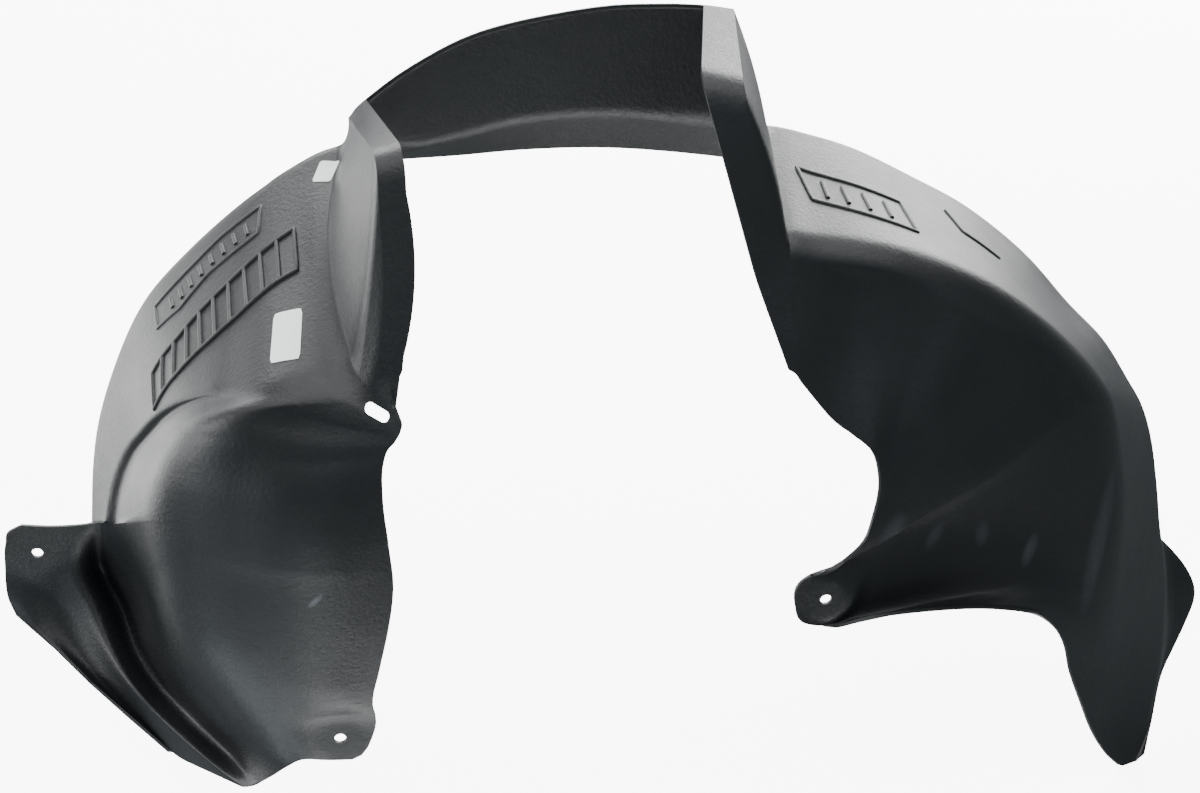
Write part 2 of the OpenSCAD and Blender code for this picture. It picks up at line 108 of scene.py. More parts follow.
EAR_ROOT = [
    [90, 400, -20, 52], [92.3, 417, -9, 24], [93.2, 427, -6, 10], [95, 440, -8, -20],
    [96.5, 448, -10, -46], [97.5, 445, -22, -66], [98.4, 430, -46, -74], [99.2, 410, -84, -92],
    [100, 398, -103, -103],
]
JOGGLE_TOP = [
    [11, -326, -62, 60], [14, -321, -68, 92], [17, -313, -80, 121], [20, -303, -100, 147],
    [22, -294, -121, 170], [24.5, -281, -141, 191], [27, -264, -158, 207], [30, -245, -172, 219],
    [34, -222, -182, 228],
]
FOLD = [
    [0, -205, -205, -9], [1.2, -224, -204, 13], [2.5, -244, -203, 36], [4, -268, -201, 70],
    [5.5, -278, -199, 96], [7, -284, -197, 121], [8.5, -287, -196, 138], [10, -288, -195, 150],
    [14, -288, -194, 170], [17, -285, -194, 182], [20, -280, -195, 192], [24, -269, -196, 206],
    [28, -252, -195, 217], [32, -231, -195, 226], [36, -209, -193, 231], [39, -192, -189, 234],
    [40, -184, -188, 238], [41, -178, -186, 242], [44, -163, -185, 243], [50, -60, -175, 262],
    [56, 28, -157, 295], [58, 44, -151, 306], [59, 48, -150, 309], [62, 66, -150, 308],
    [65, 94, -150, 306], [68, 122, -149, 302], [71, 155, -147, 292], [74, 185, -143, 278],
    [77, 225, -136, 252], [80, 262, -130, 220], [84, 285, -125, 187], [87, 309, -120, 125],
    [90, 318, -120, 79], [93, 326, -117, 45], [96, 337, -112, 0], [98, 350, -109, -45],
    [99.2, 366, -109, -86], [100, 381, -110, -107],
]
ROOF_OUT = [
    [41, -190, -32, 322], [44, -181, -32, 334], [46, -160, -32, 353], [48, -129, -32, 374],
    [50, -97, -32, 387], [52, -50, -32, 399], [54, -15, -32, 403], [56, 10, -32, 404],
    [58, 28, -32, 403],
]
ROOF_IN = [
    [41, -181, -150, 347], [44, -167, -150, 351], [50, -90, -148, 380], [56, -13, -140, 396],
    [58, 11, -140, 392],
]
TRIM = [
    [0, -176, -207, -8], [0.3, -170, -207, -4], [0.7, -166, -208, 7], [1.2, -164, -209, 19],
    [2, -167, -212, 36], [3.5, -165, -214, 62], [5, -162, -215, 90], [7, -161, -215, 120],
    [9, -165, -215, 146], [12, -169, -213, 168], [16, -171, -209, 188], [20, -170, -206, 198],
    [28, -165, -203, 206], [36, -162, -200, 212], [40, -162, -198, 216], [42, -164, -195, 220],
    [44, -165, -193, 222], [50, -60, -180, 228], [56, 56, -166, 238], [58, 66, -168, 229],
    [60, 84, -172, 211], [63, 99, -175, 201], [66, 112, -178, 192], [70, 120, -180, 173],
    [75, 120, -182, 148], [80, 113, -185, 127], [83, 98, -187, 114], [85, 84, -189, 110],
    [86.3, 79, -190, 102], [87.5, 81, -190, 90], [88.8, 88, -190, 78], [90, 108, -188, 76],
    [91, 134, -186, 82], [92.2, 180, -178, 82], [93.4, 220, -166, 74], [94.4, 250, -157, 64],
    [95.3, 272, -149, 48], [96.3, 291, -140, 24], [97.2, 304, -134, -2], [98.1, 322, -128, -32],
    [99, 342, -121, -64], [99.6, 357, -116, -84], [100, 366, -114, -94],
]

# Roundings of the section's corners; the lists below are [station, radius], and the bulge is a share
CREST_R, HOOD_CREST_R, GROOVE_R, FOLD_R = 9.0, 5.0, 16.0, 9.0
ROOF_R, ROOF_LIP, WALL_R = 16.0, 4.0, 60.0
FOLD_ROUND = [
    [0, 8], [2.5, 30], [6, 60], [14, 60], [20, 40], [28, 28], [36, 20], [40, FOLD_R + 5],
    [59, FOLD_R], [62, 11], [72, 14], [78, 20], [84, 30], [94, 40], [99, 20], [100, 2],
]
PANEL_BULGE = [
    [0, 0], [3, 0.6], [8, 1], [14, 0.9], [20, 0.5], [30, 0.1], [40, 0], [58, 0], [64, -0.4],
    [70, -0.4], [76, 0.2], [82, 0.4], [86, 0.2], [89, 0], [100, 0],
]
PLATE_ROUND = [
    [0, 8], [3, 30], [10, 30], [11, 6], [100, 6],
]
CREST_ROUND = [
    [0, 3], [2, 9], [5, 14], [10.5, 12], [11, CREST_R], [43, CREST_R], [45, HOOD_CREST_R],
    [55, HOOD_CREST_R], [57, CREST_R], [90, CREST_R], [96, CREST_R + 5], [99, 6], [100, 1],
]

# The joggle's depth and direction, the left panel's bulge, and the bows of the hood's flanks
JOGGLE, JOGGLE_WAY, BULGE = 10.0, np.array([0.6, -0.6, 0.2]), 17.0
FLANK_BOW, FLANK_EDGE_BOW, CUT_EDGE_BOW, FLANK_FOOT_BOW = 5.0, 3.0, 7.0, 8.0

# Stations of the hood's feet, top and opening, and of the slit between the ear and the arch
HOOD_FOOT_L, HOOD_TOP_L, CUT_L, CUT_R, HOOD_TOP_R, HOOD_FOOT_R = 39.3, 41.0, 44.0, 56.0, 58.0, 59.0
HOOD_MIDDLE = 50.0
RELIEF_LOW, RELIEF_HIGH = 10.0, 11.0

# Stations where one form gives way to the next, and how many stations each change takes
CROWN_START, CROWN_CHANGE = 27.0, 7.0
EAR_ROOT_START, EAR_ROOT_CHANGE = 90.5, 2.0
CUT_BOW_CHANGE, CUT_BOW_FADE = 3.0, 4.0
FOOT_BOW_START, FOOT_BOW_CHANGE = 35.0, 4.3

# The step below the crest, the soft start of the fold, and the wall's middle corner as a share of
# the wall; no step, start or rounding takes more than its share of a short straight
STEP_MOST, SOFT_MOST, SOFT_SHARE, SHORT_SHARE, ROUND_SHARE = 12.0, 14.0, 0.7, 0.3, 0.48
WALL_MIDDLE, WALL_MIDDLE_CROWN = 0.62, 0.5

HOLES = {"ear": (-369, -48, 25.5), "foot": (-184, -208, 8), "tab": (99, -189, 95)}
HOLE_R, HOLE_SIDES = 3.5, 48
# Each hole's flat: its radius, the blend round it, and its reach along Y as a number of depths
PAD_R, PAD_BLEND, PAD_DEPTH, PAD_DEPTHS = 13.0, 16.0, 12.0, 2.5
SLOT_AT, SLOT_TURN, SLOT_L, SLOT_W = (-175, -197, 220), 27.0, 14.0, 5.5

# Punching: how far in front of a hole the search starts, and then in metres how deep it goes,
# how far round the hole it looks along Y and across, and the least gap to the sheet's old points
PUNCH_FROM = 25.0
PUNCH_DEPTH, NEAR_DEPTH, NEAR_SIDE, NEAR_RIM = 0.05, 0.02, 0.03, 0.002

# Embossed frames on the crown, as (station, share of the way from crest to fold) points
UPPER_FRAME = [
    (24.74, 0.244), (26.68, 0.27), (28.1, 0.249), (29.21, 0.231), (30.62, 0.229), (32.56, 0.223),
    (32.92, 0.104), (31.66, 0.105), (30.32, 0.105), (28.48, 0.119), (26.52, 0.126), (24.95, 0.127),
]
LOWER_FRAME = [
    (22.38, 0.538), (25.39, 0.562), (28.29, 0.559), (30.61, 0.538), (33.5, 0.499), (35.03, 0.487),
    (34.94, 0.302), (33.52, 0.317), (31.81, 0.337), (30.05, 0.361), (28.15, 0.382), (25.98, 0.404),
    (23.28, 0.399),
]
RIGHT_FRAME = [
    (60.7, 0.37), (61.8, 0.62), (64.6, 0.65), (68.3, 0.68), (67.3, 0.42), (64.0, 0.40),
]
FAR_MARK = [(69.8, 0.27), (70.8, 0.43), (73.0, 0.47)]

# The bars in each left frame: the stations they span on its low and its high line, and how many;
# the upper frame's are shortened to the shares given. The right frame's bars have each end given
# for the first bar, with its step to the next
LOWER_BARS = ((23.6, 33.7), (24.5, 33.7), 9)
UPPER_BARS = ((26.2, 31.9), (26.2, 31.8), 8)
UPPER_BAR_FROM, UPPER_BAR_TO = 0.25, 0.7
RIGHT_BAR_LOW, RIGHT_BAR_HIGH = ((62.6, 0.45), (1.25, 0.01)), ((62.9, 0.58), (1.3, 0.012))
RIGHT_BARS = 4

# A ridge's section as shares of its width and height, and the length of its steps
RIDGE_PROFILE = [
    (-0.5, -0.35), (-0.44, 0.35), (-0.28, 0.85), (0.0, 1.0), (0.28, 0.85), (0.44, 0.35), (0.5, -0.35),
]
RIDGE_STEP = 3.0

# Labels: station, share and tilt in degrees; then the radius of their corners, how far their edge
# sinks into the sheet, and their rings and sides
SIDE_LABEL, CROWN_LABEL = (33.9, 0.745, 6), (38.3, 0.11, 12)
LABEL_CORNER, LABEL_SINK, LABEL_RINGS, LABEL_SIDES = 2.0, 0.05, 8, 56

# Laying a label: half steps over which the crown's lengths are measured, and rounds of correction
HALF_STATION, HALF_SHARE, CORRECTIONS = 0.5, 0.05, 4

# Soft waves left in the right panel by the forming: centre (X and Z), reach and rise; they start
# along the section near the fold's corner, at 5, where a rounding counts for twice WAVE_ROUND
WAVES = [
    ((165, 252), 34, 4.0), ((146, 215), 34, 3.0), ((54, 251), 26, 3.0),
    ((229, 220), 32, -3.5), ((96, 277), 30, -2.5), ((200, 170), 36, 2.5),
]
WAVE_FROM, WAVE_FADE, WAVE_ROUND = 4.9, 0.6, 0.3

# Marks of handling on the panels, and last a painted highlight down the right leg's rounded fold, in
# metres: centre, direction, half length, half width, strength
MARKS_AND_HIGHLIGHT = [
    ((0.1657, -0.1727, 0.0892), (0.63, -0.05, 0.78), 0.0065, 0.0022, 1.0),
    ((0.5045, -0.1304, 0.1133), (0.5, 0, 0.9), 0.013, 0.008, 0.3),
    ((0.5374, -0.1172, 0.1005), (0.2, 0, 1.0), 0.012, 0.006, 0.3),
    ((0.5736, -0.1057, 0.0948), (-0.3, 0, 1.0), 0.012, 0.006, 0.3),
    ((0.6154, -0.0928, 0.0742), (0.1, 0, 1.0), 0.014, 0.006, 0.45),
    # Painted highlight: a pale streak painted where the right leg's rounded fold catches the light
    ((0.6712, -0.0756, 0.07), (0.04, -0.07, -1.0), 0.06, 0.009, 0.3),
]

# Angles past which an edge stays sharp, in radians
SHEET_ANGLE, RIDGE_ANGLE, LABEL_ANGLE = 0.6, 1.0, 0.9

# The stage: the floor's size and glow, the sky's strength, and the lights, each with its place,
# what it points at, its size, power and colour
FLOOR_REACH, FLOOR_GLOW, SKY_STRENGTH = 30.0, 7.0, 0.24
WHITE, COOL = (1.0, 1.0, 1.0), (0.86, 0.96, 1.0)
MIDDLE = (0.4, -0.05, 0.1)
LIGHTS = [
    ("back_light", (0.0, 2.4, 1.9), MIDDLE, (3.6, 1.6), 160, WHITE),
    ("low_back_light", (-2.1, 2.2, -0.6), MIDDLE, (2.4, 2.4), 85, WHITE),
    ("left_light", (-2.6, -0.3, 0.7), MIDDLE, (2.2, 1.8), 80, WHITE),
    ("over_light", (0.4, -0.5, 2.7), MIDDLE, (3.2, 3.0), 95, WHITE),
    ("front_left_light", (-1.6, -1.3, -0.2), (0.1, -0.1, 0.0), (1.2, 1.2), 8, COOL),
    ("ear_light", (0.15, -1.1, -0.65), (0.0, 0.0, 0.0), (0.45, 0.4), 1.5, COOL),
    ("tip_light", (-0.35, -0.35, -1.0), (0.1, -0.15, -0.1), (0.6, 0.5), 2.5, COOL),
    ("under_light", (0.55, -0.4, -0.9), (0.33, 0.0, 0.3), (1.3, 0.3), 10, WHITE),
    ("front_right_light", (1.05, -2.3, 1.45), (0.5, -0.1, 0.2), (1.1, 0.7), 5.5, COOL),
    ("right_back_light", (2.3, 2.4, 1.35), MIDDLE, (1.8, 1.4), 115, WHITE),
]
CAMERA_AT = (0.1232, -0.9772, 0.6728)
CAMERA_AHEAD, CAMERA_RIGHT = (0.19541, 0.85537, -0.47976), (0.98033, -0.15643, 0.12037)
CAMERA_SENSOR, CAMERA_LENS, CAMERA_SIGHT = 36.0, 54.0, 50.0


class LinerSizes(bpy.types.PropertyGroup):
    sheet: bpy.props.FloatProperty(
        name="Sheet", description="Thickness of the formed sheet",
        default=0.002, min=0.001, unit="LENGTH",
    )
    frame_height: bpy.props.FloatProperty(
        name="Frame height", description="Height that the embossed frames stand proud",
        default=0.0015, unit="LENGTH",
    )
    frame_width: bpy.props.FloatProperty(
        name="Frame width", description="Width of an embossed line", default=0.003, unit="LENGTH",
    )
    label_length: bpy.props.FloatProperty(
        name="Label length", description="Length of the side label across the arch",
        default=0.037, unit="LENGTH",
    )
    label_width: bpy.props.FloatProperty(
        name="Label width",
        description="Width of the side label along the arch, and of the crown label across it",
        default=0.0165, unit="LENGTH",
    )
    crown_label_width: bpy.props.FloatProperty(
        name="Crown label width", description="Width of the crown label along the arch",
        default=0.012, unit="LENGTH",
    )
    label_thickness: bpy.props.FloatProperty(
        name="Label thickness", description="Thickness of the label stock",
        default=0.0003, unit="LENGTH",
    )


class LinerColours(bpy.types.PropertyGroup):
    plastic: bpy.props.FloatVectorProperty(
        name="Plastic", description="Colour of the formed sheet",
        subtype="COLOR", size=3, default=(0.006, 0.007, 0.008),
    )
    bloom: bpy.props.FloatVectorProperty(
        name="Bloom", description="Greyer colour of the stretched areas",
        subtype="COLOR", size=3, default=(0.012, 0.0135, 0.016),
    )
    # Also the colour of the painted highlight down the right leg's fold
    handling_and_highlight: bpy.props.FloatVectorProperty(
        name="Handled", description="Pale colour of the marks of handling",
        subtype="COLOR", size=3, default=(0.09, 0.1, 0.11),
    )
    paper: bpy.props.FloatVectorProperty(
        name="Paper", description="Colour of the labels",
        subtype="COLOR", size=3, default=(0.93, 0.94, 0.94),
    )
    floor: bpy.props.FloatVectorProperty(
        name="Floor", description="Colour of the studio floor",
        subtype="COLOR", size=3, default=(0.9, 0.9, 0.905),
    )


class Reading:
    """A value that changes over a surface: a node's output socket that takes part in arithmetic."""

    def __init__(self, shop, socket):
        self.shop = shop
        self.socket = socket

    def _math(self, operation, first, second):
        return self.shop.add("ShaderNodeMath", {"operation": operation}, {0: first, 1: second})

    def __add__(self, other):
        return self._math("ADD", self, other)

    def __radd__(self, other):
        return self._math("ADD", other, self)

    def __sub__(self, other):
        return self._math("SUBTRACT", self, other)

    def __rsub__(self, other):
        return self._math("SUBTRACT", other, self)

    def __mul__(self, other):
        return self._math("MULTIPLY", self, other)

    def __rmul__(self, other):
        return self._math("MULTIPLY", other, self)

    def __truediv__(self, other):
        return self._math("DIVIDE", self, other)

    def __rtruediv__(self, other):
        return self._math("DIVIDE", other, self)


class Finish:
    """A new material whose nodes are added by type, settings and socket values."""

    def __init__(self, name):
        self.material = bpy.data.materials.new(name)
        self.material.use_nodes = True
        self.tree = self.material.node_tree
        self.tree.nodes.clear()

    def add(self, kind, settings=None, values=None, out=0):
        node = self.tree.nodes.new(kind)
        for key, value in (settings or {}).items():
            if key == "stops":
                ramp = node.color_ramp.elements
                while len(ramp) < len(value):
                    ramp.new(0.5)
                for element, (place, shade) in zip(ramp, value):
                    element.position = place
                    element.color = (shade, shade, shade, 1)
            else:
                setattr(node, key, value)
        for key, value in (values or {}).items():
            socket = node.inputs[key]
            if isinstance(value, Reading):
                self.tree.links.new(value.socket, socket)
            else:
                socket.default_value = value
        return Reading(self, node.outputs[out]) if len(node.outputs) else None

    def place(self):
        return self.add("ShaderNodeTexCoord", out="Object")

    def noise(self, where, scale, detail=2.0, rough=0.5):
        values = {"Vector": where, "Scale": scale, "Detail": detail, "Roughness": rough}
        return self.add("ShaderNodeTexNoise", values=values)

    def stretched(self, where, scale):
        return self.add("ShaderNodeMapping", values={"Vector": where, "Scale": scale})

    def ramp(self, value, *stops):
        return self.add("ShaderNodeValToRGB", {"stops": stops}, {"Fac": value})

    def blend(self, share, first, second):
        """A colour between two others, each of them a plain colour or a reading."""
        first, second = (c if isinstance(c, Reading) else (*c, 1) for c in (first, second))
        return self.add("ShaderNodeMix", {"data_type": "RGBA"}, {0: share, 6: first, 7: second}, out=2)

    def bump(self, height, strength, distance, under=None):
        values = {"Height": height, "Strength": strength, "Distance": distance}
        if under is not None:
            values["Normal"] = under
        return self.add("ShaderNodeBump", values=values)

    def vector_math(self, operation, first, second, out=0):
        return self.add("ShaderNodeVectorMath", {"operation": operation}, {0: first, 1: second}, out)

    def mark(self, where, centre, way, half_length, half_width):
        """1 in the middle of a long soft spot on the surface, falling to 0 at its edge."""
        offset = self.vector_math("SUBTRACT", where, centre)
        along = self.vector_math("DOT_PRODUCT", offset, way, out=1)
        far = self.vector_math("DOT_PRODUCT", offset, offset, out=1)
        reach = (along * along) / half_length ** 2 + (far - along * along) / half_width ** 2
        return self.ramp(reach, (0.0, 1.0), (1.0, 0.0))

    def surface(self, values):
        shader = self.add("ShaderNodeBsdfPrincipled", values=values)
        self.add("ShaderNodeOutputMaterial", values={"Surface": shader})
        return self.material


def ease(value):
    """0 below 0, 1 above 1, and a smooth step between."""
    t = min(max(value, 0.0), 1.0)
    return t * t * (3 - 2 * t)


def arc(value):
    """A bow from 0 through 1 half way and back to 0."""
    return 4 * value * (1 - value)


def smooth_curve(guides, station):
    """The point at a station on the smooth curve through guide points."""
    g = np.asarray(guides, float)
    s = min(max(station, g[0, 0]), g[-1, 0])
    i = min(int((g[:, 0] <= s).sum()) - 1, len(g) - 2)
    slope = (g[1:, 1:] - g[:-1, 1:]) / (g[1:, :1] - g[:-1, :1])

    def knot(k):
        if k == 0 or k == len(g) - 1:
            return slope[min(k, len(slope) - 1)]
        a, b = g[k, 0] - g[k - 1, 0], g[k + 1, 0] - g[k, 0]
        return (slope[k - 1] * b + slope[k] * a) / (a + b)

    h = g[i + 1, 0] - g[i, 0]
    t = (s - g[i, 0]) / h
    return (
        (1 + 2 * t) * (1 - t) ** 2 * g[i, 1:] + t * (1 - t) ** 2 * h * knot(i)
        + t * t * (3 - 2 * t) * g[i + 1, 1:] + t * t * (t - 1) * h * knot(i + 1)
    )


def listed(pairs, station):
    """The value at a station of a list of [station, value] pairs."""
    table = np.asarray(pairs, float)
    return float(np.interp(station, table[:, 0], table[:, 1]))


def gap(a, b):
    return np.linalg.norm(b - a)


def toward(a, b, distance):
    """The point this far from a on the way to b."""
    return a + (b - a) / max(gap(a, b), 1e-9) * distance


def hood_share(s):
    """How much of the hood a station has, from 0 at its feet to 1 at its roof."""
    left = ease((s - HOOD_FOOT_L) / (HOOD_TOP_L - HOOD_FOOT_L))
    right = ease((HOOD_FOOT_R - s) / (HOOD_FOOT_R - HOOD_TOP_R))
    return min(left, right)


def section_corners(s):
    """The eight corners of the sheet's section, from the outboard edge to the inboard trim."""
    on_ear = s < (RELIEF_LOW + RELIEF_HIGH) / 2
    crest = smooth_curve(EAR_RIDGE if on_ear else CREST, s)
    edge = smooth_curve(EAR_EDGE if on_ear else RIM, s)
    root = ease((s - EAR_ROOT_START) / EAR_ROOT_CHANGE)
    if on_ear:
        middle = smooth_curve(EAR_PLATE, s)
    else:
        middle = (edge + crest) / 2 * (1 - root) + smooth_curve(EAR_ROOT, s) * root
    fold = smooth_curve(FOLD, s)
    trim = smooth_curve(TRIM, s)
    soft = min(
        min(listed(FOLD_ROUND, s), SOFT_MOST) * SOFT_SHARE,
        gap(crest, fold) * SHORT_SHARE, gap(fold, trim) * SHORT_SHARE,
    )
    crown = ease((s - CROWN_START) / CROWN_CHANGE)
    hood = hood_share(s)
    lift = np.array([FLANK_BOW * arc(hood) if s > HOOD_MIDDLE else 0.0, 0.0, 0.0])
    jog_top = smooth_curve(JOGGLE_TOP, s)
    jog_low = jog_top + JOGGLE * JOGGLE_WAY
    step = (smooth_curve(POCKET, s) if on_ear else jog_top) * (1 - crown)
    step = step + toward(crest, fold, min(STEP_MOST, gap(crest, fold) * SHORT_SHARE)) * crown
    base = (smooth_curve(VALLEY, s) if on_ear else jog_low) * (1 - crown)
    base = base + toward(fold, crest, soft) * crown
    low = fold * (1 - crown) + toward(fold, trim, soft) * crown
    wall = low + (trim - low) * (WALL_MIDDLE * (1 - crown) + WALL_MIDDLE_CROWN * crown)
    wall = wall - np.array([0, BULGE * listed(PANEL_BULGE, s), 0])
    step = step * (1 - hood) + smooth_curve(ROOF_OUT, s) * hood + lift
    base = base * (1 - hood) + smooth_curve(ROOF_IN, s) * hood + lift
    return [edge, middle, crest, step, base, low, wall, trim]


# Places of four of those corners in the list
CREST_CORNER, STEP_CORNER, BASE_CORNER, LOW_CORNER = 2, 3, 4, 5
# How much of a straight's length a rounding counts for in the bow of the flank's edge
CORNER_SPREAD = 0.1


def section_rounding(s):
    """The radius at each corner of the section."""
    hood = hood_share(s)
    inner = GROOVE_R if s < RELIEF_HIGH else FOLD_R
    return [
        0, listed(PLATE_ROUND, s), listed(CREST_ROUND, s), inner * (1 - hood) + ROOF_LIP * hood,
        inner * (1 - hood) + ROOF_R * hood, listed(FOLD_ROUND, s), WALL_R, 0,
    ]


# Rows of the sheet on each straight of the section and on the rounding of each corner
STRAIGHTS = [4, 3, 10, 18, 14, 12, 14]
ROUNDS = [0, 4, 8, 6, 6, 10, 6]


def section_rows():
    """Each row of the sheet as (corner or straight, 1 on a rounding, how far along)."""
    rows, last = [], len(STRAIGHTS) - 1
    for k, count in enumerate(STRAIGHTS):
        rows += [(k, 0, i / count) for i in range(0 if k == 0 else 1, count)]
        if k < last:
            rows += [(k + 1, 1, i / ROUNDS[k + 1]) for i in range(ROUNDS[k + 1] + 1)]
    return rows + [(last, 0, 1.0)]


# The row where the straight up to the crest starts, and the one that ends the step's rounding, up
# to which the ear is cut free of the arch and past which the hood is open
ROWS = section_rows()
CREST_ROW = ROWS.index((CREST_CORNER - 1, 1, 1.0))
STEP_ROW = ROWS.index((STEP_CORNER, 1, 1.0))


def flat_share(p, hole):
    """How far a point is drawn into the flat round a clip hole, from 0 to 1."""
    near = (np.hypot(p[0] - hole[0], p[2] - hole[2]) - PAD_R) / PAD_BLEND
    return (1 - ease(near)) * ease(PAD_DEPTHS - abs(p[1] - hole[1]) / PAD_DEPTH)


def flattened(p):
    """A point drawn into the flat round the nearest clip hole."""
    best = max(HOLES.values(), key=lambda hole: flat_share(p, hole))
    share = flat_share(p, best)
    return np.array([p[0], p[1] * (1 - share) + best[1] * share, p[2]]) if share > 0 else p


def waved(p, corner, rounded, f):
    """A panel's point with the soft waves of the forming, which fade out at the fold."""
    beyond = WAVE_ROUND * (2 * f - 1) if rounded else WAVE_ROUND + (1 - 2 * WAVE_ROUND) * f
    share = ease((corner + beyond - WAVE_FROM) / WAVE_FADE)
    if share == 0:
        return p
    rise = sum(
        high * np.exp(-((p[0] - x) ** 2 + (p[2] - z) ** 2) / reach ** 2)
        for (x, z), reach, high in WAVES
    )
    return p - np.array([0, rise * share, 0])


def flank_bows(s):
    """How far the left flank bows along the arch at its trimmed edge and at its foot."""
    rise = ease((s - HOOD_FOOT_L) / (HOOD_TOP_L - HOOD_FOOT_L))
    rise = rise * ease((HOOD_MIDDLE - s) / CUT_BOW_FADE)
    share = ease((s - HOOD_TOP_L) / CUT_BOW_CHANGE)
    edge = (FLANK_EDGE_BOW * (1 - share) + CUT_EDGE_BOW * share) * rise
    foot = ease((s - FOOT_BOW_START) / FOOT_BOW_CHANGE) * ease(HOOD_TOP_L - s)
    return edge, FLANK_FOOT_BOW * foot


def section(s):
    """The sheet's outer line at a station, one point for each row."""
    v, r = section_corners(s), section_rounding(s)
    back = [0.0] * len(v)
    for k in range(1, len(v) - 1):
        back[k] = min(r[k], ROUND_SHARE * gap(v[k - 1], v[k]), ROUND_SHARE * gap(v[k], v[k + 1]))
    edge_bow, foot_bow = flank_bows(s)
    line = []
    for k, rounded, f in ROWS:
        if rounded:
            a, b = toward(v[k], v[k - 1], back[k]), toward(v[k], v[k + 1], back[k])
            p = (1 - f) ** 2 * a + 2 * f * (1 - f) * v[k] + f * f * b
        else:
            a = toward(v[k], v[k + 1], back[k])
            b = toward(v[k + 1], v[k], back[k + 1])
            p = a + (b - a) * f
        inward = (f - 0.5) * CORNER_SPREAD if rounded else f
        inward = min(max(k + inward - BASE_CORNER, 0.0), 1.0)
        upward = f if k == STEP_CORNER and not rounded else 0
        p = flattened(p + np.array([edge_bow * arc(inward) - foot_bow * arc(upward), 0, 0]))
        line.append(waved(p, k, rounded, f))
    return np.array(line)


def station_list():
    """Stations close together where the section changes fast, such as on the hood's flanks."""
    spans = [
        (0, 3, 12), (3, 8, 18), (8, RELIEF_LOW, 14), (RELIEF_HIGH, 14, 7), (14, 30, 36),
        (30, HOOD_FOOT_L, 20), (HOOD_FOOT_L, HOOD_TOP_L, 24), (HOOD_TOP_L, CUT_L, 7),
        (CUT_L, CUT_R, 30), (CUT_R, HOOD_TOP_R, 6), (HOOD_TOP_R, HOOD_FOOT_R, 18),
        (HOOD_FOOT_R, 62, 7), (62, 82, 42), (82, 92, 36), (92, 98, 26), (98, 100, 12),
    ]
    stations = []
    for low, high, count in spans:
        stations += [low + (high - low) * i / count for i in range(count)]
        if high == RELIEF_LOW:
            stations.append(RELIEF_LOW)
    return stations + [100.0]


class Crown:
    """The formed sheet's columns, kept so that ridges and labels lie on the surface that shows."""

    stations = np.array(station_list())
    columns = None
    shares = None

    @classmethod
    def form(cls):
        cls.columns = np.array([section(s) for s in cls.stations])
        cls.shares = []
        for s, column in zip(cls.stations, cls.columns):
            corners = section_corners(s)
            chord = corners[LOW_CORNER] - corners[CREST_CORNER]
            share = (column - corners[CREST_CORNER]) @ chord / (chord @ chord)
            share[:CREST_ROW] = -1
            cls.shares.append(np.maximum.accumulate(share))

    @classmethod
    def on_column(cls, k, q):
        """The point of a column at a share of the way from crest to fold."""
        return np.array([np.interp(q, cls.shares[k], cls.columns[k][:, axis]) for axis in range(3)])


# Steps of a station and of a share over which the crown's directions are measured
STATION_STEP, SHARE_STEP = 0.3, 0.02


def crown_point(s, q):
    """A point of the outer face at a station and a share of the way from crest to fold."""
    places = Crown.stations
    i = int(np.clip(np.searchsorted(places, s, side="right") - 1, 0, len(places) - 2))
    t = (s - places[i]) / (places[i + 1] - places[i])
    here, there = Crown.on_column(i, q), Crown.on_column(i + 1, q)
    return here + (there - here) * t


def crown_frame(s, q):
    """The outer face's point, direction along the arch, direction to the fold, and outward normal."""
    p = crown_point(s, q)
    ahead = crown_point(s + STATION_STEP, q) - crown_point(s - STATION_STEP, q)
    down = crown_point(s, q + SHARE_STEP) - crown_point(s, q - SHARE_STEP)
    out = np.cross(down, ahead)
    out /= np.linalg.norm(out)
    down /= np.linalg.norm(down)
    return p, np.cross(out, down), down, out


def in_metres(points):
    """Points drawn in millimetres, in metres from the ear's clip hole."""
    return (np.asarray(points, float) - EAR_HOLE) * MM


def new_object(name, points, faces, material):
    mesh = bpy.data.meshes.new(name)
    mesh.from_pydata([tuple(p) for p in points], [], faces)
    mesh.materials.append(material)
    mesh.validate()
    mesh.update()
    piece = bpy.data.objects.new(name, mesh)
    bpy.context.scene.collection.objects.link(piece)
    return piece


def applied(piece):
    """Turns a piece's modifiers into its mesh."""
    bpy.context.view_layer.update()
    seen = piece.evaluated_get(bpy.context.evaluated_depsgraph_get())
    mesh = bpy.data.meshes.new_from_object(seen)
    old = piece.data
    piece.modifiers.clear()
    piece.data = mesh
    bpy.data.meshes.remove(old)
    return piece


def smooth(piece, angle):
    for polygon in piece.data.polygons:
        polygon.use_smooth = True
    piece.data.set_sharp_from_angle(angle=angle)


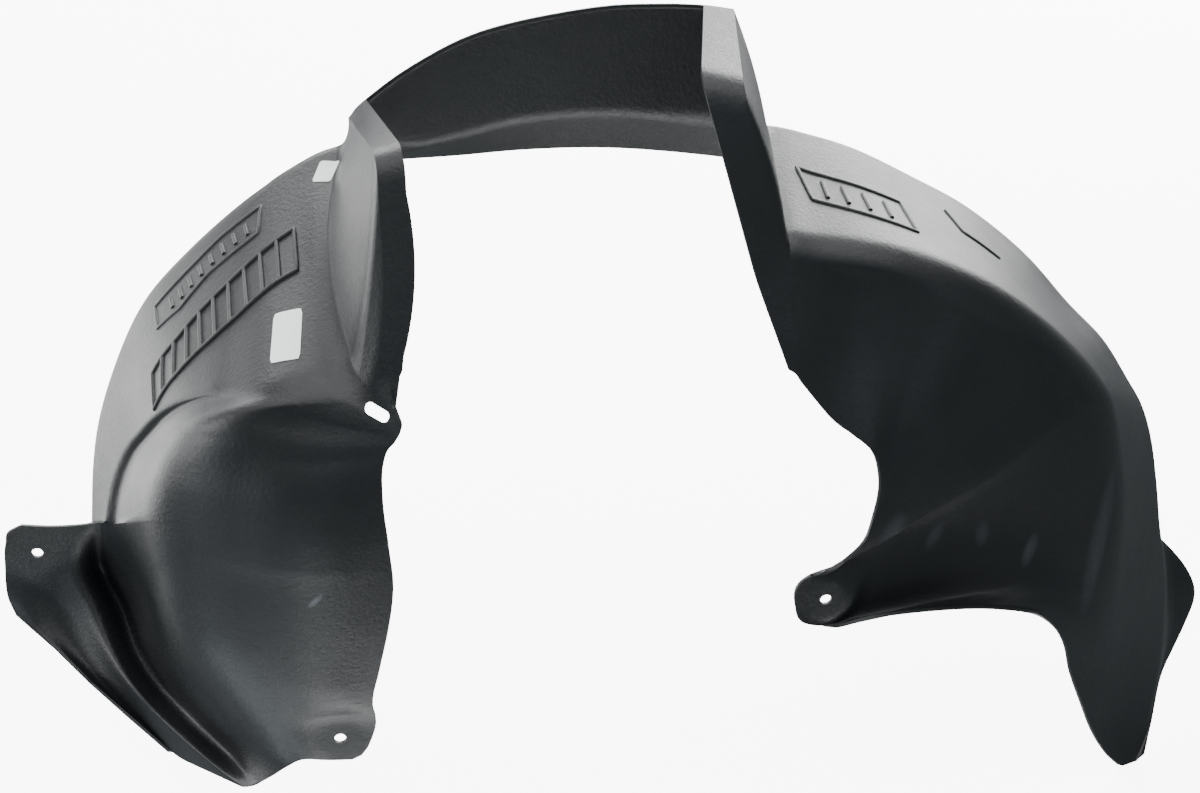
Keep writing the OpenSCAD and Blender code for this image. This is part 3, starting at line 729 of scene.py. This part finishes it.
def black_plastic(colours):
    """Semi-gloss black sheet: fine grain, soft ripples of the forming, greyer stretched areas, pale
    marks of handling, and a painted highlight down the right leg's fold.
    """
    f = Finish("formed_black_plastic")
    where = f.place()
    wide = f.noise(where, 9.0, 3.0)
    cloud = f.noise(where, 38.0, 4.0, 0.6)
    grain = f.noise(where, 1900.0, 2.0)
    pebble = f.noise(where, 430.0, 3.0, 0.6)
    streak = f.noise(f.stretched(where, (26.0, 700.0, 26.0)), 1.0, 3.0, 0.6)
    bloom = f.ramp(wide * 0.6 + cloud * 0.4, (0.38, 0.0), (0.68, 1.0))
    colour = f.blend(bloom * 0.35 + streak * 0.12, colours.plastic, colours.bloom)
    # Pale marks of handling, and from the table's last entry a painted highlight down the right leg's
    # fold
    handling_and_highlight = 0
    for centre, way, half_length, half_width, strength in MARKS_AND_HIGHLIGHT:
        way = tuple(Vector(way).normalized())
        handling_and_highlight = handling_and_highlight + f.mark(where, centre, way, half_length, half_width) * strength
    colour = f.blend(handling_and_highlight * (0.4 + streak * 0.9), colour, colours.handling_and_highlight)
    fine = f.bump(grain * 0.3 + pebble * 0.7, strength=0.6, distance=0.0006)
    ripples = f.bump(wide * 0.5 + streak * 0.05, strength=0.25, distance=0.004, under=fine)
    return f.surface({
        "Base Color": colour, "Roughness": 0.31 + cloud * 0.12 + pebble * 0.12, "Normal": ripples,
        "Specular IOR Level": 0.5, "IOR": 1.5,
    })


def white_paper(colours):
    """Matt paper with fine fibres and faint clouds."""
    f = Finish("label_paper")
    where = f.place()
    fibre = f.noise(where, 2400.0, 3.0)
    cloud = f.noise(where, 120.0, 2.0)
    return f.surface({
        "Base Color": f.blend(cloud * 0.25, colours.paper, (0.78, 0.79, 0.8)),
        "Roughness": 0.55 + fibre * 0.15, "Normal": f.bump(fibre, strength=0.2, distance=0.00008),
    })


class ARCH_OT_form_liner(bpy.types.Operator):
    """Forms the sheet over its guide curves, thickens it, and cuts its clip holes and slot"""

    bl_idname = "arch.form_liner"
    bl_label = "Form the liner"

    def execute(self, context):
        sizes, colours = context.scene.liner_sizes, context.scene.liner_colours
        Crown.form()
        points = in_metres(np.concatenate(Crown.columns))
        piece = new_object("formed_sheet", points, self.sheet_faces(), black_plastic(colours))
        work = bmesh.new()
        work.from_mesh(piece.data)
        bmesh.ops.delete(work, geom=[v for v in work.verts if not v.link_faces], context="VERTS")
        angles = turn(HOLE_SIDES)
        for at in HOLES.values():
            punch(work, at, [(HOLE_R * np.cos(a), HOLE_R * np.sin(a)) for a in angles], 0)
        end, half = SLOT_W / 2, (SLOT_L - SLOT_W) / 2
        outline = [(end * np.cos(a) + np.copysign(half, np.cos(a)), end * np.sin(a)) for a in angles]
        punch(work, SLOT_AT, outline, SLOT_TURN)
        work.to_mesh(piece.data)
        work.free()
        solid = piece.modifiers.new("thickness", "SOLIDIFY")
        solid.thickness = sizes.sheet
        solid.offset = -1
        solid.use_even_offset = False
        applied(piece)
        smooth(piece, SHEET_ANGLE)
        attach(piece, "root")
        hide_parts("liner")
        return {"FINISHED"}

    @staticmethod
    def sheet_faces():
        """The faces between the columns, less the ear's slit and the hood's opening."""
        rows = len(ROWS)
        faces = []
        for i, s in enumerate(Crown.stations[:-1]):
            for j in range(rows - 1):
                in_slit = s == RELIEF_LOW and j < STEP_ROW
                in_opening = CUT_L <= s < CUT_R and j >= STEP_ROW
                if not in_slit and not in_opening:
                    a, b = i * rows + j, (i + 1) * rows + j
                    faces.append((a + 1, b + 1, b, a))
        return faces


def turn(count):
    """Evenly spaced angles all round, starting half a step past 0."""
    return [2 * np.pi * (k + 0.5) / count for k in range(count)]


def punch(work, at, outline, tilt):
    """Opens the sheet along Y to this outline, in millimetres, turned by tilt degrees."""
    c, s = np.cos(np.radians(tilt)), np.sin(np.radians(tilt))
    around = [(at[0] + x * c + z * s, at[2] - x * s + z * c) for x, z in outline]
    tree = BVHTree.FromBMesh(work)
    points = []
    for x, z in around:
        start = Vector(in_metres((x, at[1] - PUNCH_FROM, z)))
        hit = tree.ray_cast(start, Vector((0, 1, 0)), PUNCH_DEPTH)[0]
        points.append(hit if hit is not None else Vector(in_metres((x, at[1], z))))
    ring = np.array([(p.x, p.z) for p in points])
    middle = in_metres(at)
    doomed = set()
    for vert in work.verts:
        x, y, z = vert.co
        aside = max(abs(x - middle[0]), abs(z - middle[2]))
        if abs(y - middle[1]) < NEAR_DEPTH and aside < NEAR_SIDE:
            if np.hypot(*(ring - (x, z)).T).min() < NEAR_RIM or inside(ring, x, z):
                doomed.update(vert.link_faces)
    for face in work.faces:
        spot = face.calc_center_median()
        if abs(spot.y - middle[1]) < NEAR_DEPTH and inside(ring, spot.x, spot.z):
            doomed.add(face)
    edges = {edge for face in doomed for edge in face.edges}
    rim = [edge for edge in edges if sum(face not in doomed for face in edge.link_faces) == 1]
    bmesh.ops.delete(work, geom=list(doomed), context="FACES_KEEP_BOUNDARY")
    for edge in [e for e in edges if e.is_valid and e not in rim and not e.link_faces]:
        work.edges.remove(edge)
    verts = [work.verts.new(p) for p in points]
    loop = [work.edges.new((verts[k], verts[(k + 1) % len(verts)])) for k in range(len(verts))]
    fill = bmesh.ops.triangle_fill(work, use_beauty=True, edges=rim + loop, normal=(0, -1, 0))
    for face in [f for f in fill["geom"] if isinstance(f, bmesh.types.BMFace)]:
        spot = face.calc_center_median()
        if inside(ring, spot.x, spot.z):
            work.faces.remove(face)
        elif face.normal.y > 0:
            face.normal_flip()
    for vert in [v for v in work.verts if not v.link_faces]:
        work.verts.remove(vert)


def inside(ring, x, z):
    """Is a point within a closed outline?"""
    ahead = np.roll(ring, -1, axis=0)
    crosses = (ring[:, 1] > z) != (ahead[:, 1] > z)
    with np.errstate(divide="ignore", invalid="ignore"):
        share = (z - ring[:, 1]) / (ahead[:, 1] - ring[:, 1])
        reach = ring[:, 0] + share * (ahead[:, 0] - ring[:, 0])
    return bool((crosses & (reach > x)).sum() % 2)


def ridge(path, width, height, closed):
    """Points and faces of a low rounded ridge along a path of (station, share) points."""
    dense = []
    for (s0, q0), (s1, q1) in zip(path, path[1:] + path[:1] if closed else path[1:]):
        steps = max(int(gap(crown_point(s0, q0), crown_point(s1, q1)) / RIDGE_STEP), 1)
        dense += [(s0 + (s1 - s0) * k / steps, q0 + (q1 - q0) * k / steps) for k in range(steps)]
    if not closed:
        dense.append(path[-1])
    centres = [crown_frame(s, q) for s, q in dense]
    points, n = [], len(centres)
    for k, (p, _, _, out) in enumerate(centres):
        before = centres[(k - 1) % n][0] if closed or k > 0 else p
        after = centres[(k + 1) % n][0] if closed or k < n - 1 else p
        way = (after - before) / np.linalg.norm(after - before)
        side = np.cross(out, way)
        side /= np.linalg.norm(side)
        points += [p + side * a * width + out * b * height for a, b in RIDGE_PROFILE]
    m = len(RIDGE_PROFILE)
    faces = []
    for k in range(n if closed else n - 1):
        for j in range(m - 1):
            a, b = k * m + j, (k + 1) % n * m + j
            faces.append((a, b, b + 1, a + 1))
    if not closed:
        faces += [tuple(range(m)), tuple(range((n - 1) * m, n * m))[::-1]]
    return points, faces


def bars_between(frame_path, low_span, high_span, count):
    """Plain bars from a frame's low line, its first six points, to its high line, the rest."""
    low, high = np.array(frame_path[:6]), np.array(frame_path[:5:-1])
    bars = []
    for s0, s1 in zip(np.linspace(*low_span, count), np.linspace(*high_span, count)):
        bars.append([
            (float(s0), float(np.interp(s0, low[:, 0], low[:, 1]))),
            (float(s1), float(np.interp(s1, high[:, 0], high[:, 1]))),
        ])
    return bars


def shortened(bar):
    """A bar of the upper frame, clear of both lines of the frame."""
    (s0, q0), (s1, q1) = bar
    ends = (UPPER_BAR_FROM, UPPER_BAR_TO)
    return [(s, q0 * (1 - share) + q1 * share) for s, share in zip((s0, s1), ends)]


def right_bars():
    """The bars of the right frame, each a step along the arch from the last."""
    ends = (RIGHT_BAR_LOW, RIGHT_BAR_HIGH)
    return [[(s + k * ds, q + k * dq) for (s, q), (ds, dq) in ends] for k in range(RIGHT_BARS)]


class ARCH_OT_raise_frames(bpy.types.Operator):
    """Raises the embossed frames and their plain bars on both sides of the crown"""

    bl_idname = "arch.raise_frames"
    bl_label = "Raise the embossed frames"

    def execute(self, context):
        sizes = context.scene.liner_sizes
        width, height = sizes.frame_width / MM, sizes.frame_height / MM
        material = bpy.data.objects["formed_sheet"].data.materials[0]
        upper = [shortened(bar) for bar in bars_between(UPPER_FRAME, *UPPER_BARS)]
        lower = bars_between(LOWER_FRAME, *LOWER_BARS)
        # Each group's outline, its bars, and its share of the full height
        groups = {
            "upper_frame": (UPPER_FRAME, upper, 0.6),
            "lower_frame": (LOWER_FRAME, lower, 1.0),
            "right_frame": (RIGHT_FRAME, right_bars(), 0.8),
            "far_mark": (None, [FAR_MARK], 0.8),
        }
        for name, (outline, bars, share) in groups.items():
            lines = [(outline, True)] if outline else []
            points, faces = [], []
            for path, closed in lines + [(bar, False) for bar in bars]:
                more, sides = ridge(path, width, height * share, closed)
                faces += [tuple(k + len(points) for k in face) for face in sides]
                points += more
            piece = new_object(name, in_metres(points), faces, material)
            smooth(piece, RIDGE_ANGLE)
            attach(piece, "root")
        return {"FINISHED"}


def label_outline(half):
    """Points round a label with rounded corners, from half its width and length."""
    rim = []
    for a in turn(LABEL_SIDES):
        way = np.array([np.cos(a), np.sin(a)])
        spot = way * min(h / max(abs(w), 1e-9) for h, w in zip(half, way))
        inset = half - LABEL_CORNER
        extra = np.maximum(np.abs(spot) - inset, 0)
        if extra.all():
            spot = np.sign(spot) * (inset + extra / np.linalg.norm(extra) * LABEL_CORNER)
        rim.append(spot)
    return rim


def label_sheet(name, place, size, thick, material):
    """A rounded paper label laid on the crown, with its edge turned down to the sheet."""
    s, q, tilt = place
    p0, along, down, _ = crown_frame(s, q)
    c, t = np.cos(np.radians(tilt)), np.sin(np.radians(tilt))
    rim = label_outline(np.array(size) / 2)
    rings, sides = LABEL_RINGS, LABEL_SIDES
    flat = [np.zeros(2)] + [spot * ring / rings for ring in range(1, rings + 1) for spot in rim]
    per_station = gap(crown_point(s - HALF_STATION, q), crown_point(s + HALF_STATION, q))
    per_share = gap(crown_point(s, q - HALF_SHARE), crown_point(s, q + HALF_SHARE))
    per_station, per_share = per_station / (2 * HALF_STATION), per_share / (2 * HALF_SHARE)

    def settled(a, b):
        """The crown's frame under a point of the flat label, found by a few corrections."""
        x, y = a * c - b * t, a * t + b * c
        target = p0 + along * x + down * y
        guess = np.array([s + x / per_station, q + y / per_share])
        for _ in range(CORRECTIONS):
            miss = target - crown_point(*guess)
            guess = guess + np.array([miss @ along / per_station, miss @ down / per_share])
        return crown_frame(*guess)

    frames = [settled(*spot) for spot in flat]
    top = [p + out * thick for p, _, _, out in frames]
    under = [p - out * LABEL_SINK for p, _, _, out in frames[-sides:]]
    faces = [(0, 1 + k, 1 + (k + 1) % sides) for k in range(sides)]
    for ring in range(rings):
        a, b = 1 + ring * sides, 1 + (ring + 1) * sides
        faces += [(a + k, b + k, b + (k + 1) % sides, a + (k + 1) % sides) for k in range(sides)]
    piece = new_object(name, in_metres(top + under), faces, material)
    smooth(piece, LABEL_ANGLE)
    return piece


class ARCH_OT_lay_labels(bpy.types.Operator):
    """Lays the two plain paper labels on the crown"""

    bl_idname = "arch.lay_labels"
    bl_label = "Lay the labels"

    def execute(self, context):
        sizes = context.scene.liner_sizes
        width, length = sizes.label_width / MM, sizes.label_length / MM
        crown_width, thick = sizes.crown_label_width / MM, sizes.label_thickness / MM
        paper = white_paper(context.scene.liner_colours)
        side = label_sheet("side_paper", SIDE_LABEL, (width, length), thick, paper)
        crown = label_sheet("crown_paper", CROWN_LABEL, (crown_width, width), thick, paper)
        for piece, node in ((side, "side_label"), (crown, "crown_label")):
            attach(piece, "root")
            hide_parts(node)
        return {"FINISHED"}


def soft_light(name, at, target, size, power, colour):
    """A rectangular area light that points at a target."""
    lamp = bpy.data.lights.new(name, "AREA")
    lamp.shape = "RECTANGLE"
    lamp.size, lamp.size_y = size
    lamp.energy = power
    lamp.color = colour
    holder = bpy.data.objects.new(name, lamp)
    bpy.context.scene.collection.objects.link(holder)
    holder.location = at
    way = Vector(target) - Vector(at)
    holder.rotation_euler = way.to_track_quat("-Z", "Y").to_euler()


class ARCH_OT_set_stage(bpy.types.Operator):
    """Sets the pale floor, the soft lights and the camera"""

    bl_idname = "arch.set_stage"
    bl_label = "Set the stage"

    def execute(self, context):
        colours = context.scene.liner_colours
        low, reach = CAD_BOX[0][2], FLOOR_REACH
        f = Finish("studio_floor")
        haze = f.noise(f.place(), 3.0, 2.0)
        floor_finish = f.surface({
            "Base Color": f.blend(haze * 0.1, colours.floor, (0.86, 0.86, 0.87)),
            "Roughness": 0.9 + haze * 0.05, "Specular IOR Level": 0.1,
            "Emission Color": (1.0, 0.995, 1.0, 1.0), "Emission Strength": FLOOR_GLOW,
        })
        sides = ((-reach, -reach), (reach, -reach), (reach, reach), (-reach, reach))
        corners = [(x, y, low) for x, y in sides]
        floor = new_object("floor", corners, [(0, 1, 2, 3)], floor_finish)
        floor.visible_glossy = False
        floor.visible_diffuse = False
        floor.visible_shadow = False

        world = bpy.data.worlds.new("studio")
        world.use_nodes = True
        sky = world.node_tree.nodes["Background"].inputs
        sky["Color"].default_value = (*COOL, 1)
        sky["Strength"].default_value = SKY_STRENGTH
        context.scene.world = world
        for light in LIGHTS:
            soft_light(*light)

        camera = bpy.data.cameras.new("camera")
        camera.sensor_width = CAMERA_SENSOR
        camera.lens = CAMERA_LENS
        camera.clip_end = CAMERA_SIGHT
        holder = bpy.data.objects.new("camera", camera)
        context.scene.collection.objects.link(holder)
        ahead, right = Vector(CAMERA_AHEAD).normalized(), Vector(CAMERA_RIGHT)
        right = (right - ahead * right.dot(ahead)).normalized()
        up = right.cross(ahead)
        axes = Matrix((right, up, -ahead)).transposed().to_4x4()
        holder.matrix_world = Matrix.Translation(CAMERA_AT) @ axes
        context.scene.camera = holder
        return {"FINISHED"}


MAKERS = (ARCH_OT_form_liner, ARCH_OT_raise_frames, ARCH_OT_lay_labels, ARCH_OT_set_stage)


class ARCH_PT_panel(bpy.types.Panel):
    """Lists the liner's sizes, colours and operators"""

    bl_idname = "ARCH_PT_panel"
    bl_label = "Wheel arch liner"
    bl_space_type = "VIEW_3D"
    bl_region_type = "UI"
    bl_category = "Arch Liner"

    def draw(self, context):
        layout = self.layout
        for group in (context.scene.liner_sizes, context.scene.liner_colours):
            for name in group.__annotations__:
                layout.prop(group, name)
        for maker in MAKERS:
            layout.operator(maker.bl_idname)


CLASSES = (LinerSizes, LinerColours, *MAKERS, ARCH_PT_panel)


def register():
    for item in CLASSES:
        bpy.utils.register_class(item)
    bpy.types.Scene.liner_sizes = bpy.props.PointerProperty(type=LinerSizes)
    bpy.types.Scene.liner_colours = bpy.props.PointerProperty(type=LinerColours)


def unregister():
    del bpy.types.Scene.liner_colours
    del bpy.types.Scene.liner_sizes
    for item in reversed(CLASSES):
        bpy.utils.unregister_class(item)


def main():
    register()
    bpy.ops.arch.form_liner()
    bpy.ops.arch.raise_frames()
    bpy.ops.arch.lay_labels()
    bpy.ops.arch.set_stage()


if __name__ == "__main__":
    main()
